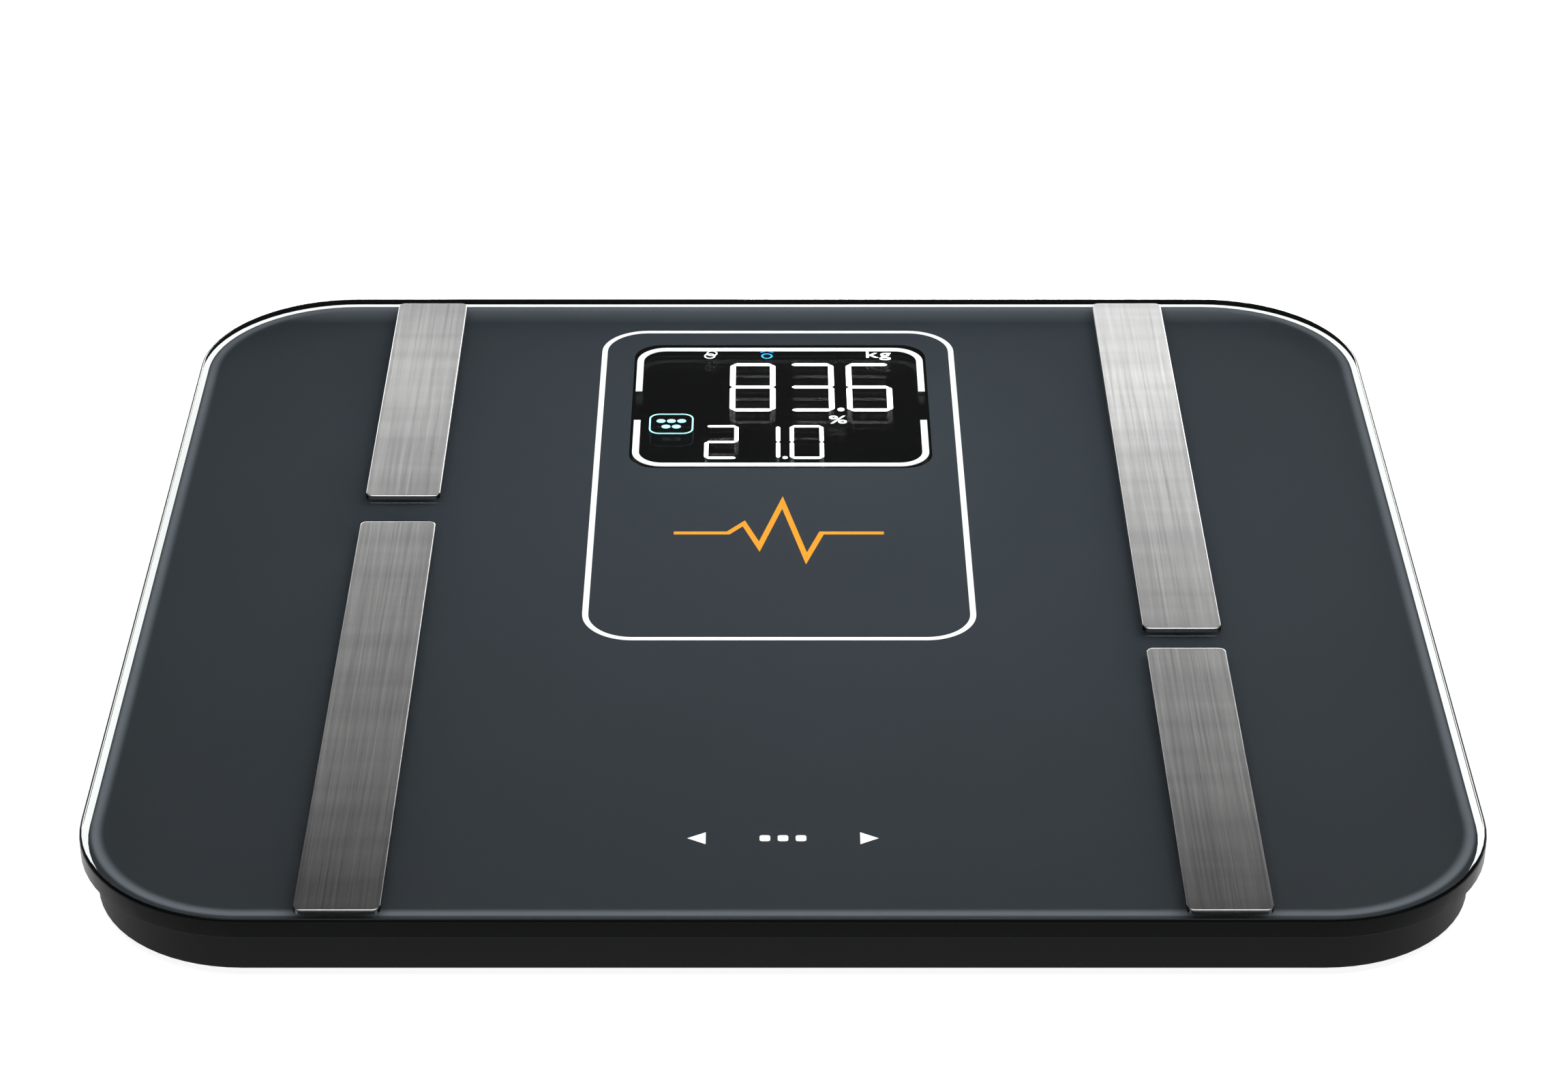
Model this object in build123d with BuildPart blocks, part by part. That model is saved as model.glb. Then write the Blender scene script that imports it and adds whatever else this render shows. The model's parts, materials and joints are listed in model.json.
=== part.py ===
"""Digital bathroom scale: a tempered glass platform on a moulded tray, standing on four weighing feet.

Millimetres. X runs across the scale, Y runs from the touch keys towards the display, +Z is up.
The origin is on the floor, under the middle of the glass.
"""

import os
from math import radians, tan

from build123d import *

os.makedirs("parts", exist_ok=True)

# ---------------------------------------------------------------- driving dimensions

plate_width = 320.0
plate_depth = 306.0
plate_corner = 40.0
plate_thickness = 5.0
plate_edge_round = 0.8
plate_lower_arris = 0.3

floor_gap = 2.4
tray_height = 10.0
tray_inset = 3.3
tray_wall = 3.0
tray_floor = 2.0
tape_thickness = 0.4
tape_width = 2.2
print_thickness = 0.2
print_margin = 1.9

strip_width = 19.35
strip_thickness = 1.2
strip_centre = 98.3
strip_corner = 1.8
strip_edge_round = 0.3

foot_across = 114.0
foot_along = 106.0
foot_travel = 0.6

window_width = 80.8
window_depth = 71.4
window_corner = 7.5
window_y = 91.8

lead_radius = 0.9
thin_lead_radius = 0.6

# ---------------------------------------------------------------- heights that follow from them

tray_inside = floor_gap + tray_floor
tray_top = floor_gap + tray_height
print_bottom = tray_top + tape_thickness
glass_bottom = print_bottom + print_thickness
glass_top = glass_bottom + plate_thickness
tray_width = plate_width - 2 * tray_inset
tray_depth = plate_depth - 2 * tray_inset
tray_corner = plate_corner - tray_inset

corners = {
    "left_rear": (-1, 1),
    "left_front": (-1, -1),
    "right_rear": (1, 1),
    "right_front": (1, -1),
}
# front end, rear end and stud place of each electrode strip, along Y
strip_spans = {
    "left_rear": (35.5, 147.5, 60.0),
    "left_front": (-150.9, 22.1, -30.0),
    "right_rear": (-31.2, 147.5, 60.0),
    "right_front": (-150.9, -40.3, -70.0),
}
stud_places = [(corners[name][0] * strip_centre, span[2]) for name, span in strip_spans.items()]


def save(piece, name):
    """Label a finished piece and write its STEP file."""
    piece.part.label = name
    export_step(piece.part, f"parts/{name}.step")


# ---------------------------------------------------------------- glass platform

stud_hole_radius = 2.0

with BuildPart() as glass_platform:
    with BuildSketch(Plane.XY.offset(glass_bottom)):
        RectangleRounded(plate_width, plate_depth, plate_corner)
        with Locations(*stud_places):
            Circle(stud_hole_radius, mode=Mode.SUBTRACT)
    extrude(amount=plate_thickness)
    outer_top = glass_platform.faces().sort_by(Axis.Z)[-1].outer_wire().edges()
    fillet(outer_top, radius=plate_edge_round)
    outer_low = glass_platform.faces().sort_by(Axis.Z)[0].outer_wire().edges()
    chamfer(outer_low, length=plate_lower_arris)
save(glass_platform, "glass_platform")

# ---------------------------------------------------------------- printing on the back of the glass

frame_width = 97.9
frame_depth = 167.6
frame_corner = 12.6
frame_x = -0.6
frame_y = 52.3
frame_line = 1.5

bracket_width = 79.2
bracket_depth = 68.4
bracket_corner = 8.0
bracket_y = 91.4
bracket_line = 1.8
bracket_gap = 16.8

key_y = -117.9
key_spread = 19.65
arrow_length = 4.2
arrow_height = 4.8
key_dot = 2.4
key_dot_pitch = 4.1
key_dot_corner = 0.6

pulse_y = 21.5
pulse_line = 1.5
pulse_points = [(-27, 0), (-13, 0), (-9, 5), (-5, -7), (1, 16), (7, -13), (11, 0), (27, 0)]


def outline_ring(width, depth, corner, line):
    """A rounded rectangular line, centred on the present location."""
    RectangleRounded(width, depth, corner)
    RectangleRounded(width - 2 * line, depth - 2 * line, corner - line, mode=Mode.SUBTRACT)


with BuildSketch() as white_marks:
    with BuildSketch():
        with Locations((frame_x, frame_y)):
            outline_ring(frame_width, frame_depth, frame_corner, frame_line)
    with BuildSketch():
        with Locations((0, bracket_y)):
            outline_ring(bracket_width, bracket_depth, bracket_corner, bracket_line)
            Rectangle(plate_width / 2, bracket_gap, mode=Mode.SUBTRACT)
    with BuildSketch():
        for side in (-1, 1):
            base = side * (key_spread - arrow_length / 2)
            tip = side * (key_spread + arrow_length / 2)
            with BuildLine():
                low = (base, key_y - arrow_height / 2)
                high = (base, key_y + arrow_height / 2)
                Polyline(low, (tip, key_y), high, close=True)
            make_face()
    with BuildSketch():
        with Locations((0, key_y)):
            with GridLocations(key_dot_pitch, 1, 3, 1):
                RectangleRounded(key_dot, key_dot, key_dot_corner)

with BuildSketch() as pulse_mark:
    with BuildLine():
        Polyline(*[(frame_x + x, pulse_y + y) for x, y in pulse_points])
    trace(line_width=pulse_line)

with BuildPart() as back_print:
    with BuildSketch(Plane.XY.offset(print_bottom)):
        inset = 2 * print_margin
        RectangleRounded(plate_width - inset, plate_depth - inset, plate_corner - print_margin)
        with Locations((0, window_y)):
            RectangleRounded(window_width, window_depth, window_corner, mode=Mode.SUBTRACT)
        with Locations(*stud_places):
            Circle(stud_hole_radius, mode=Mode.SUBTRACT)
        add(white_marks.sketch, mode=Mode.SUBTRACT)
        add(pulse_mark.sketch, mode=Mode.SUBTRACT)
    extrude(amount=print_thickness)
save(back_print, "back_print")

with BuildPart() as white_print:
    with BuildSketch(Plane.XY.offset(print_bottom)):
        add(white_marks.sketch)
    extrude(amount=print_thickness)
save(white_print, "white_print")

with BuildPart() as orange_print:
    with BuildSketch(Plane.XY.offset(print_bottom)):
        add(pulse_mark.sketch)
    extrude(amount=print_thickness)
save(orange_print, "orange_print")

# ---------------------------------------------------------------- electrode strips and their studs

stud_radius = 1.5
stud_end = 10.0
nut_width = 5.5
nut_height = 2.0
lug_radius = 3.4
lug_thickness = 0.4
lug_reach = 8.0
lug_width = 3.0

for name, (front, rear, stud_y) in strip_spans.items():
    side = corners[name][0]
    with BuildPart() as electrode:
        with BuildSketch(Plane.XY.offset(glass_top)):
            with Locations((side * strip_centre, (front + rear) / 2)):
                RectangleRounded(strip_width, rear - front, strip_corner)
        extrude(amount=strip_thickness)
        fillet(electrode.faces().sort_by(Axis.Z)[-1].edges(), radius=strip_edge_round)
    save(electrode, f"electrode_{name}")

with BuildPart() as electrode_studs:
    with BuildSketch(Plane.XY.offset(stud_end)):
        with Locations(*stud_places):
            Circle(stud_radius)
    extrude(amount=glass_top - stud_end)
save(electrode_studs, "electrode_studs")

with BuildPart() as electrode_lugs:
    with BuildSketch(Plane.XY.offset(print_bottom - lug_thickness)):
        for x, y in stud_places:
            toward_middle = -1 if x > 0 else 1
            with Locations((x, y)):
                Circle(lug_radius)
            with Locations((x + toward_middle * lug_reach / 2, y)):
                Rectangle(lug_reach, lug_width)
            with Locations((x, y)):
                Circle(stud_radius, mode=Mode.SUBTRACT)
    extrude(amount=lug_thickness)
save(electrode_lugs, "electrode_lugs")

with BuildPart() as electrode_nuts:
    with BuildSketch(Plane.XY.offset(print_bottom - lug_thickness - nut_height)):
        with Locations(*stud_places):
            RegularPolygon(nut_width / 2, 6, major_radius=False)
            Circle(stud_radius, mode=Mode.SUBTRACT)
    extrude(amount=nut_height)
save(electrode_nuts, "electrode_nuts")

# ---------------------------------------------------------------- battery bay and its door

bay_x = 16.0
bay_y = -21.5
bay_width = 46.4
bay_depth = 21.0
bay_pad_top = 5.8
bay_pad_width = 64.0
bay_pad_depth = 40.0
bay_pad_y = -20.0
scoop_radius = 7.0
scoop_depth = 1.0
pin_clearance = 0.05
door_width = 52.0
door_front = -34.4
door_bottom = 2.45
door_thickness = 1.4
hinge_y = -6.8
hinge_z = 3.6
barrel_radius = 1.15
pin_radius = 0.9
pin_length = 2.5
gap = 0.35

# ---------------------------------------------------------------- boards and the screws that hold them

board_thickness = 1.0
main_board_width = 112.0
main_board_depth = 93.2
main_board_y = 87.0
main_board_bottom = 5.9
power_board_width = 78.0
power_board_depth = 34.0
power_board_x = 27.0
power_board_y = -19.0
power_board_bottom = 10.2
touch_board_width = 74.0
touch_board_depth = 16.0
touch_board_bottom = 8.6

boss_radius = 2.6
screw_radius = 0.9
screw_head_radius = 1.9
screw_head_height = 1.2
screw_tip = 3.2
# board underside height, then the screw places under it
screw_groups = {
    "main": (main_board_bottom, [(-36, 45.5), (36, 45.5), (-52, 125), (52, 125)]),
    "power": (power_board_bottom, [(62, -32), (62, -6)]),
    "touch": (touch_board_bottom, [(-33, key_y), (33, key_y)]),
}

button_x = 54.0
button_y = -19.0
button_radius = 3.6
button_hole_radius = 4.0
button_flange_radius = 5.0

foot_well_radius = 22.0

tray_edge_round = 0.6
rib_thickness = 1.6
rib_height = 5.0
lane_rib_x = 128.0
lane_rib_length = 150.0
front_rib_x = 60.0
front_rib_y = -128.0
front_rib_length = 30.0
cross_rib_y = -72.0
cross_rib_length = 34.0

# ---------------------------------------------------------------- tray

with BuildPart() as base_tray:
    with BuildSketch(Plane.XY.offset(floor_gap)):
        RectangleRounded(tray_width, tray_depth, tray_corner)
    extrude(amount=tray_height)
    fillet(base_tray.faces().sort_by(Axis.Z)[0].edges(), radius=tray_edge_round)
    with BuildSketch(Plane.XY.offset(tray_inside)):
        inner_width = tray_width - 2 * tray_wall
        inner_depth = tray_depth - 2 * tray_wall
        RectangleRounded(inner_width, inner_depth, tray_corner - tray_wall)
    extrude(amount=tray_height, mode=Mode.SUBTRACT)

    # raised pad round the battery bay, and bosses under the boards
    with BuildSketch(Plane.XY.offset(tray_inside)):
        with Locations((bay_x, bay_pad_y)):
            Rectangle(bay_pad_width, bay_pad_depth)
    extrude(amount=bay_pad_top - tray_inside)
    for board_bottom, places in screw_groups.values():
        with BuildSketch(Plane.XY.offset(tray_inside)):
            with Locations(*places):
                Circle(boss_radius)
        extrude(amount=board_bottom - tray_inside)
        with BuildSketch(Plane.XY.offset(screw_tip)):
            with Locations(*places):
                Circle(screw_radius)
        extrude(amount=board_bottom - screw_tip, mode=Mode.SUBTRACT)

    # stiffening ribs beside the lead lanes
    with BuildSketch(Plane.XY.offset(tray_inside)):
        for side in (-1, 1):
            with Locations((side * lane_rib_x, 0)):
                Rectangle(rib_thickness, lane_rib_length)
            with Locations((side * front_rib_x, front_rib_y)):
                Rectangle(rib_thickness, front_rib_length)
        with Locations((0, cross_rib_y)):
            Rectangle(cross_rib_length, rib_thickness)
    extrude(amount=rib_height)

    # wells for the feet, and the hole for the unit button
    with BuildSketch(Plane.XY.offset(floor_gap)):
        with GridLocations(2 * foot_across, 2 * foot_along, 2, 2):
            Circle(foot_well_radius)
        with Locations((button_x, button_y)):
            Circle(button_hole_radius)
    extrude(amount=tray_floor, mode=Mode.SUBTRACT)

    # battery opening, the recess that takes the door, and its hinge channel
    with BuildSketch(Plane.XY.offset(floor_gap)):
        with Locations((bay_x, bay_y)):
            Rectangle(bay_width, bay_depth)
    extrude(amount=bay_pad_top - floor_gap, mode=Mode.SUBTRACT)
    recess_front = door_front - gap
    recess_rear = hinge_y + barrel_radius + gap
    with BuildSketch(Plane.XY.offset(floor_gap)):
        with Locations((bay_x, (recess_front + recess_rear) / 2)):
            Rectangle(door_width + 2 * gap, recess_rear - recess_front)
    extrude(amount=door_bottom + door_thickness + gap - floor_gap, mode=Mode.SUBTRACT)
    with BuildSketch(Plane.XY.offset(floor_gap)):
        with Locations((bay_x, hinge_y)):
            Rectangle(door_width + 2 * gap, 2 * (barrel_radius + gap))
    extrude(amount=hinge_z + barrel_radius + gap - floor_gap, mode=Mode.SUBTRACT)
    with BuildSketch(Plane.YZ.offset(bay_x)):
        with Locations((hinge_y, hinge_z)):
            Circle(pin_radius + pin_clearance)
    extrude(amount=door_width / 2 + pin_length + gap, both=True, mode=Mode.SUBTRACT)

    # thumb scoop in front of the door
    with BuildSketch(Plane.XY.offset(floor_gap)):
        with Locations((bay_x, recess_front)):
            Circle(scoop_radius)
    extrude(amount=scoop_depth, mode=Mode.SUBTRACT)
save(base_tray, "base_tray")

tape_inset = 0.4

with BuildPart() as adhesive_tape:
    with BuildSketch(Plane.XY.offset(tray_top)):
        outer_width = tray_width - 2 * tape_inset
        outer_depth = tray_depth - 2 * tape_inset
        outline_ring(outer_width, outer_depth, tray_corner - tape_inset, tape_width)
    extrude(amount=tape_thickness)
save(adhesive_tape, "adhesive_tape")

latch_spread = 7.0
latch_slot_width = 1.0
latch_slot_length = 8.0
grip_width = 9.0
grip_line = 0.7
grip_pitch = 1.6
grip_depth = 0.3

with BuildPart() as battery_cover:
    with BuildSketch(Plane.XY.offset(door_bottom)):
        with Locations((bay_x, (door_front + hinge_y) / 2)):
            Rectangle(door_width, hinge_y - door_front)
        # two slots free a springy latch tongue at the front edge
        with Locations((bay_x, door_front + latch_slot_length / 2)):
            with GridLocations(2 * latch_spread, 1, 2, 1):
                Rectangle(latch_slot_width, latch_slot_length, mode=Mode.SUBTRACT)
    extrude(amount=door_thickness)
    with BuildSketch(Plane.YZ.offset(bay_x)):
        with Locations((hinge_y, hinge_z)):
            Circle(barrel_radius)
    extrude(amount=door_width / 2, both=True)
    with BuildSketch(Plane.YZ.offset(bay_x)):
        with Locations((hinge_y, hinge_z)):
            Circle(pin_radius)
    extrude(amount=door_width / 2 + pin_length, both=True)
    # grip lines beside the tongue
    with BuildSketch(Plane.XY.offset(door_bottom)):
        with Locations((bay_x, door_front + latch_slot_length / 2)):
            with GridLocations(1, grip_pitch, 1, 3):
                Rectangle(grip_width, grip_line)
    extrude(amount=grip_depth, mode=Mode.SUBTRACT)
save(battery_cover, "battery_cover")

# ---------------------------------------------------------------- coin cells, holder and contacts

cell_radius = 10.0
cell_height = 3.2
cell_bottom = 4.7
cell_spread = 11.6
cell_edge_round = 0.5
holder_wall = 1.5
holder_ceiling = 9.2
leaf_half_length = 7.0
leaf_half_width = 3.0
leaf_thickness = 0.3

with BuildPart() as battery_cells:
    with BuildSketch(Plane.XY.offset(cell_bottom)):
        with Locations((bay_x - cell_spread, bay_y), (bay_x + cell_spread, bay_y)):
            Circle(cell_radius)
    extrude(amount=cell_height)
    fillet(battery_cells.faces().sort_by(Axis.Z)[0].edges(), radius=cell_edge_round)
save(battery_cells, "battery_cells")

with BuildPart() as battery_holder:
    with BuildSketch(Plane.XY.offset(bay_pad_top)):
        with Locations((bay_x, bay_y)):
            Rectangle(bay_width + 2 * holder_wall, bay_depth + 2 * holder_wall)
    extrude(amount=power_board_bottom - bay_pad_top)
    with BuildSketch(Plane.XY.offset(bay_pad_top)):
        with Locations((bay_x, bay_y)):
            Rectangle(bay_width, bay_depth)
    extrude(amount=holder_ceiling - bay_pad_top, mode=Mode.SUBTRACT)
save(battery_holder, "battery_holder")

with BuildPart() as battery_contacts:
    cell_top = cell_bottom + cell_height
    for side in (-1, 1):
        with BuildSketch(Plane.XZ.offset(-bay_y)):
            with BuildLine():
                middle = bay_x + side * cell_spread
                left = middle - leaf_half_length
                right = middle + leaf_half_length
                low = holder_ceiling - leaf_thickness
                ThreePointArc((left, low), (middle, cell_top), (right, low))
                Line((right, low), (right, holder_ceiling))
                crest = (middle, cell_top + leaf_thickness)
                ThreePointArc((right, holder_ceiling), crest, (left, holder_ceiling))
                Line((left, holder_ceiling), (left, low))
            make_face()
        extrude(amount=leaf_half_width, both=True)
save(battery_contacts, "battery_contacts")

# ---------------------------------------------------------------- unit button and its switch

button_bottom = 2.7
button_height = 2.1
button_edge_round = 0.5
flange_bottom = 4.75
flange_thickness = 0.6
button_post_bottom = 5.3
button_post_height = 0.9
button_post_radius = 1.5
switch_size = 6.0
switch_height = 2.5
plunger_radius = 1.7
plunger_height = 0.6

with BuildPart() as unit_button:
    with BuildSketch(Plane.XY.offset(button_bottom)):
        with Locations((button_x, button_y)):
            Circle(button_radius)
    extrude(amount=button_height)
    fillet(unit_button.faces().sort_by(Axis.Z)[0].edges(), radius=button_edge_round)
    with BuildSketch(Plane.XY.offset(flange_bottom)):
        with Locations((button_x, button_y)):
            Circle(button_flange_radius)
    extrude(amount=flange_thickness)
    with BuildSketch(Plane.XY.offset(button_post_bottom)):
        with Locations((button_x, button_y)):
            Circle(button_post_radius)
    extrude(amount=button_post_height)
save(unit_button, "unit_button")

with BuildPart() as unit_switch:
    with BuildSketch(Plane.XY.offset(power_board_bottom - switch_height)):
        with Locations((button_x, button_y)):
            Rectangle(switch_size, switch_size)
    extrude(amount=switch_height)
    with BuildSketch(Plane.XY.offset(power_board_bottom - switch_height - plunger_height)):
        with Locations((button_x, button_y)):
            Circle(plunger_radius)
    extrude(amount=plunger_height)
save(unit_switch, "unit_switch")

# ---------------------------------------------------------------- circuit boards

board_corner = 1.5
screw_clearance = 0.2
screw_slot_length = 2.4
screw_slot_width = 0.5
screw_slot_depth = 0.6

boards = {
    "main": ((0, main_board_y), main_board_width, main_board_depth),
    "power": ((power_board_x, power_board_y), power_board_width, power_board_depth),
    "touch": ((0, key_y), touch_board_width, touch_board_depth),
}
for name, (centre, width, depth) in boards.items():
    board_bottom, screw_places = screw_groups[name]
    with BuildPart() as board:
        with BuildSketch(Plane.XY.offset(board_bottom)):
            with Locations(centre):
                RectangleRounded(width, depth, board_corner)
            with Locations(*screw_places):
                Circle(screw_radius + screw_clearance, mode=Mode.SUBTRACT)
        extrude(amount=board_thickness)
    save(board, f"{name}_board")

with BuildPart() as board_screws:
    for board_bottom, places in screw_groups.values():
        board_top = board_bottom + board_thickness
        with BuildSketch(Plane.XY.offset(screw_tip)):
            with Locations(*places):
                Circle(screw_radius)
        extrude(amount=board_top - screw_tip)
        with BuildSketch(Plane.XY.offset(board_top)):
            with Locations(*places):
                Circle(screw_head_radius)
        extrude(amount=screw_head_height)
        with BuildSketch(Plane.XY.offset(board_top + screw_head_height)):
            with Locations(*places):
                Rectangle(screw_slot_length, screw_slot_width)
                Rectangle(screw_slot_width, screw_slot_length)
        extrude(amount=-screw_slot_depth, mode=Mode.SUBTRACT)
save(board_screws, "board_screws")

main_board_top = main_board_bottom + board_thickness

# place and plan size of each chip, and the place of a round capacitor
main_chips = [((-9, 45), 8, 8), ((14, 45), 5, 4)]
power_chips = [((54, -31), 5, 4), ((46, -31), 3, 4)]
capacitor_place = (25, 45)
capacitor_radius = 2.0
main_chip_height = 1.6
power_chip_height = 1.2

with BuildPart() as board_components:
    with BuildSketch(Plane.XY.offset(main_board_top)):
        for place, width, depth in main_chips:
            with Locations(place):
                Rectangle(width, depth)
        with Locations(capacitor_place):
            Circle(capacitor_radius)
    extrude(amount=main_chip_height)
    with BuildSketch(Plane.XY.offset(power_board_bottom)):
        for place, width, depth in power_chips:
            with Locations(place):
                Rectangle(width, depth)
    extrude(amount=-power_chip_height)
save(board_components, "board_components")

# ---------------------------------------------------------------- display, from the board up

display_width = 86.0
display_depth = 77.0
reflector_thickness = 0.3
guide_thickness = 2.7
panel_thickness = 2.2
guide_bottom = main_board_top + reflector_thickness
panel_bottom = guide_bottom + guide_thickness
panel_top = panel_bottom + panel_thickness
guide_depth = 66.0
guide_y = window_y + 4.5
guide_margin = 4.0
reflector_margin = 2.0
led_from_edge = 2.8
led_pitch = 24.0
led_width = 1.6
led_length = 4.0
led_height = 1.8
zebra_y = window_y - display_depth / 2 + 3.5
zebra_length = 70.0
zebra_width = 2.0
frame_wall = 3.0
frame_clearance = 0.1
frame_lip = 0.2
gasket_margin = 2.5
gasket_inner_margin = 0.5

with BuildPart() as backlight_reflector:
    with BuildSketch(Plane.XY.offset(main_board_top)):
        with Locations((0, guide_y)):
            Rectangle(display_width - 2 * reflector_margin, guide_depth)
    extrude(amount=reflector_thickness)
save(backlight_reflector, "backlight_reflector")

with BuildPart() as light_guide:
    with BuildSketch(Plane.XY.offset(guide_bottom)):
        with Locations((0, guide_y)):
            Rectangle(display_width - 2 * guide_margin, guide_depth)
    extrude(amount=guide_thickness)
save(light_guide, "light_guide")

with BuildPart() as backlight_leds:
    with BuildSketch(Plane.XY.offset(guide_bottom)):
        for side in (-1, 1):
            with Locations((side * (display_width / 2 - led_from_edge), guide_y)):
                with GridLocations(1, led_pitch, 1, 2):
                    Rectangle(led_width, led_length)
    extrude(amount=led_height)
save(backlight_leds, "backlight_leds")

with BuildPart() as display_panel:
    with BuildSketch(Plane.XY.offset(panel_bottom)):
        with Locations((0, window_y)):
            Rectangle(display_width, display_depth)
    extrude(amount=panel_thickness)
save(display_panel, "display_panel")

with BuildPart() as display_connector:
    with BuildSketch(Plane.XY.offset(main_board_top)):
        with Locations((0, zebra_y)):
            Rectangle(zebra_length, zebra_width)
    extrude(amount=panel_bottom - main_board_top)
save(display_connector, "display_connector")

display_frame_top = panel_top + frame_lip

with BuildPart() as display_frame:
    with BuildSketch(Plane.XY.offset(main_board_top)):
        with Locations((0, window_y)):
            outer = 2 * frame_wall
            inner = 2 * frame_clearance
            Rectangle(display_width + outer, display_depth + outer)
            Rectangle(display_width + inner, display_depth + inner, mode=Mode.SUBTRACT)
    extrude(amount=display_frame_top - main_board_top)
save(display_frame, "display_frame")

with BuildPart() as display_gasket:
    with BuildSketch(Plane.XY.offset(display_frame_top)):
        with Locations((0, window_y)):
            outer = 2 * gasket_margin
            inner = 2 * gasket_inner_margin
            Rectangle(display_width + outer, display_depth + outer)
            Rectangle(display_width + inner, display_depth + inner, mode=Mode.SUBTRACT)
    extrude(amount=print_bottom - display_frame_top)
save(display_gasket, "display_gasket")

# ---------------------------------------------------------------- touch keys

touch_pad_size = 9.0

with BuildPart() as touch_pads:
    with BuildSketch(Plane.XY.offset(touch_board_bottom + board_thickness)):
        with Locations((-key_spread, key_y), (0, key_y), (key_spread, key_y)):
            Rectangle(touch_pad_size, touch_pad_size)
    extrude(amount=print_bottom - touch_board_bottom - board_thickness)
save(touch_pads, "touch_pads")

ribbon_x = -24.0
ribbon_width = 6.0
ribbon_thickness = 0.6
ribbon_lift = 0.05
ribbon_start = touch_board_bottom - ribbon_thickness / 2
ribbon_low = tray_inside + ribbon_thickness / 2 + ribbon_lift
ribbon_end = main_board_top + ribbon_thickness / 2
ribbon_points = [
    (ribbon_x, key_y + 4, ribbon_start),
    (ribbon_x, -103, ribbon_start),
    (ribbon_x, -92, ribbon_low),
    (ribbon_x, 27, ribbon_low),
    (ribbon_x, 36, ribbon_end),
    (ribbon_x, 46, ribbon_end),
]


run_share = 0.45


def bend_radii(points):
    """The largest arcs that a route's runs allow, one for each corner."""
    stops = [Vector(*point) for point in points]
    radii = []
    for before, here, after in zip(stops, stops[1:], stops[2:]):
        run_in = here - before
        run_out = after - here
        half_turn = radians(run_in.get_angle(run_out)) / 2
        radii.append(run_share * min(run_in.length, run_out.length) / tan(half_turn))
    return radii


with BuildPart() as touch_ribbon:
    with BuildLine() as ribbon_route:
        FilletPolyline(*ribbon_points, radius=bend_radii(ribbon_points))
    with BuildSketch(Plane(origin=ribbon_points[0], x_dir=(1, 0, 0), z_dir=(0, 1, 0))):
        Rectangle(ribbon_width, ribbon_thickness)
    sweep(path=ribbon_route.wires()[0])
save(touch_ribbon, "touch_ribbon")

# ---------------------------------------------------------------- weighing feet

pad_radius = 19.0
pad_thickness = 1.8
pad_edge_round = 0.6
groove_radii = (9.0, 14.5)
groove_width = 1.4
groove_depth = 0.5
foot_plate_radius = 20.0
foot_plate_top = 3.6
foot_boss_radius = 5.0
foot_boss_top = 5.4
cushion_radius = 4.5
load_cell_size = 34.0
load_cell_corner = 3.0
load_cell_hole = 25.0
tongue_width = 20.6
tongue_length = 22.6
tongue_offset = 1.2
load_cell_bottom = 6.4
load_cell_thickness = 3.0
load_cell_top = load_cell_bottom + load_cell_thickness
cell_holder_size = 44.0
cell_holder_corner = 4.0
cell_holder_bottom = 4.7
cell_clearance = 0.2
cell_lip = 1.5
tongue_room_size = 27.0
tongue_room_height = 1.6
notch_from_middle = 17.0
notch_length = 14.0
notch_width = 2.6
notch_height = 2.4
gauge_length = 8.0
gauge_width = 4.0
gauge_thickness = 0.4
gauge_offset = 9.0

for name, (side, end) in corners.items():
    foot_x = side * foot_across
    foot_y = end * foot_along

    with BuildPart() as foot_pad:
        with BuildSketch():
            with Locations((foot_x, foot_y)):
                Circle(pad_radius)
        extrude(amount=pad_thickness)
        fillet(foot_pad.faces().sort_by(Axis.Z)[0].edges(), radius=pad_edge_round)
        for groove_radius in groove_radii:
            with BuildSketch():
                with Locations((foot_x, foot_y)):
                    Circle(groove_radius + groove_width / 2)
                    Circle(groove_radius - groove_width / 2, mode=Mode.SUBTRACT)
            extrude(amount=groove_depth, mode=Mode.SUBTRACT)
    save(foot_pad, f"foot_pad_{name}")

    with BuildPart() as foot_plate:
        with BuildSketch(Plane.XY.offset(pad_thickness)):
            with Locations((foot_x, foot_y)):
                Circle(foot_plate_radius)
        extrude(amount=foot_plate_top - pad_thickness)
        with BuildSketch(Plane.XY.offset(foot_plate_top)):
            with Locations((foot_x, foot_y)):
                Circle(foot_boss_radius)
        extrude(amount=foot_boss_top - foot_plate_top)
    save(foot_plate, f"foot_plate_{name}")

    with BuildPart() as foot_cushion:
        with BuildSketch(Plane.XY.offset(foot_boss_top)):
            with Locations((foot_x, foot_y)):
                Circle(cushion_radius)
        extrude(amount=load_cell_bottom - foot_boss_top)
    save(foot_cushion, f"foot_cushion_{name}")

    # spring steel plate with a tongue cut free on three sides
    with BuildPart() as load_cell:
        with BuildSketch(Plane.XY.offset(load_cell_bottom)):
            with Locations((foot_x, foot_y)):
                RectangleRounded(load_cell_size, load_cell_size, load_cell_corner)
                Rectangle(load_cell_hole, load_cell_hole, mode=Mode.SUBTRACT)
            with Locations((foot_x, foot_y + end * tongue_offset)):
                Rectangle(tongue_width, tongue_length)
        extrude(amount=load_cell_thickness)
    save(load_cell, f"load_cell_{name}")

foot_places = [(side * foot_across, end * foot_along) for side, end in corners.values()]
notch_x = foot_across - notch_from_middle
notch_places = [(side * notch_x, end * foot_along) for side, end in corners.values()]

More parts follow.
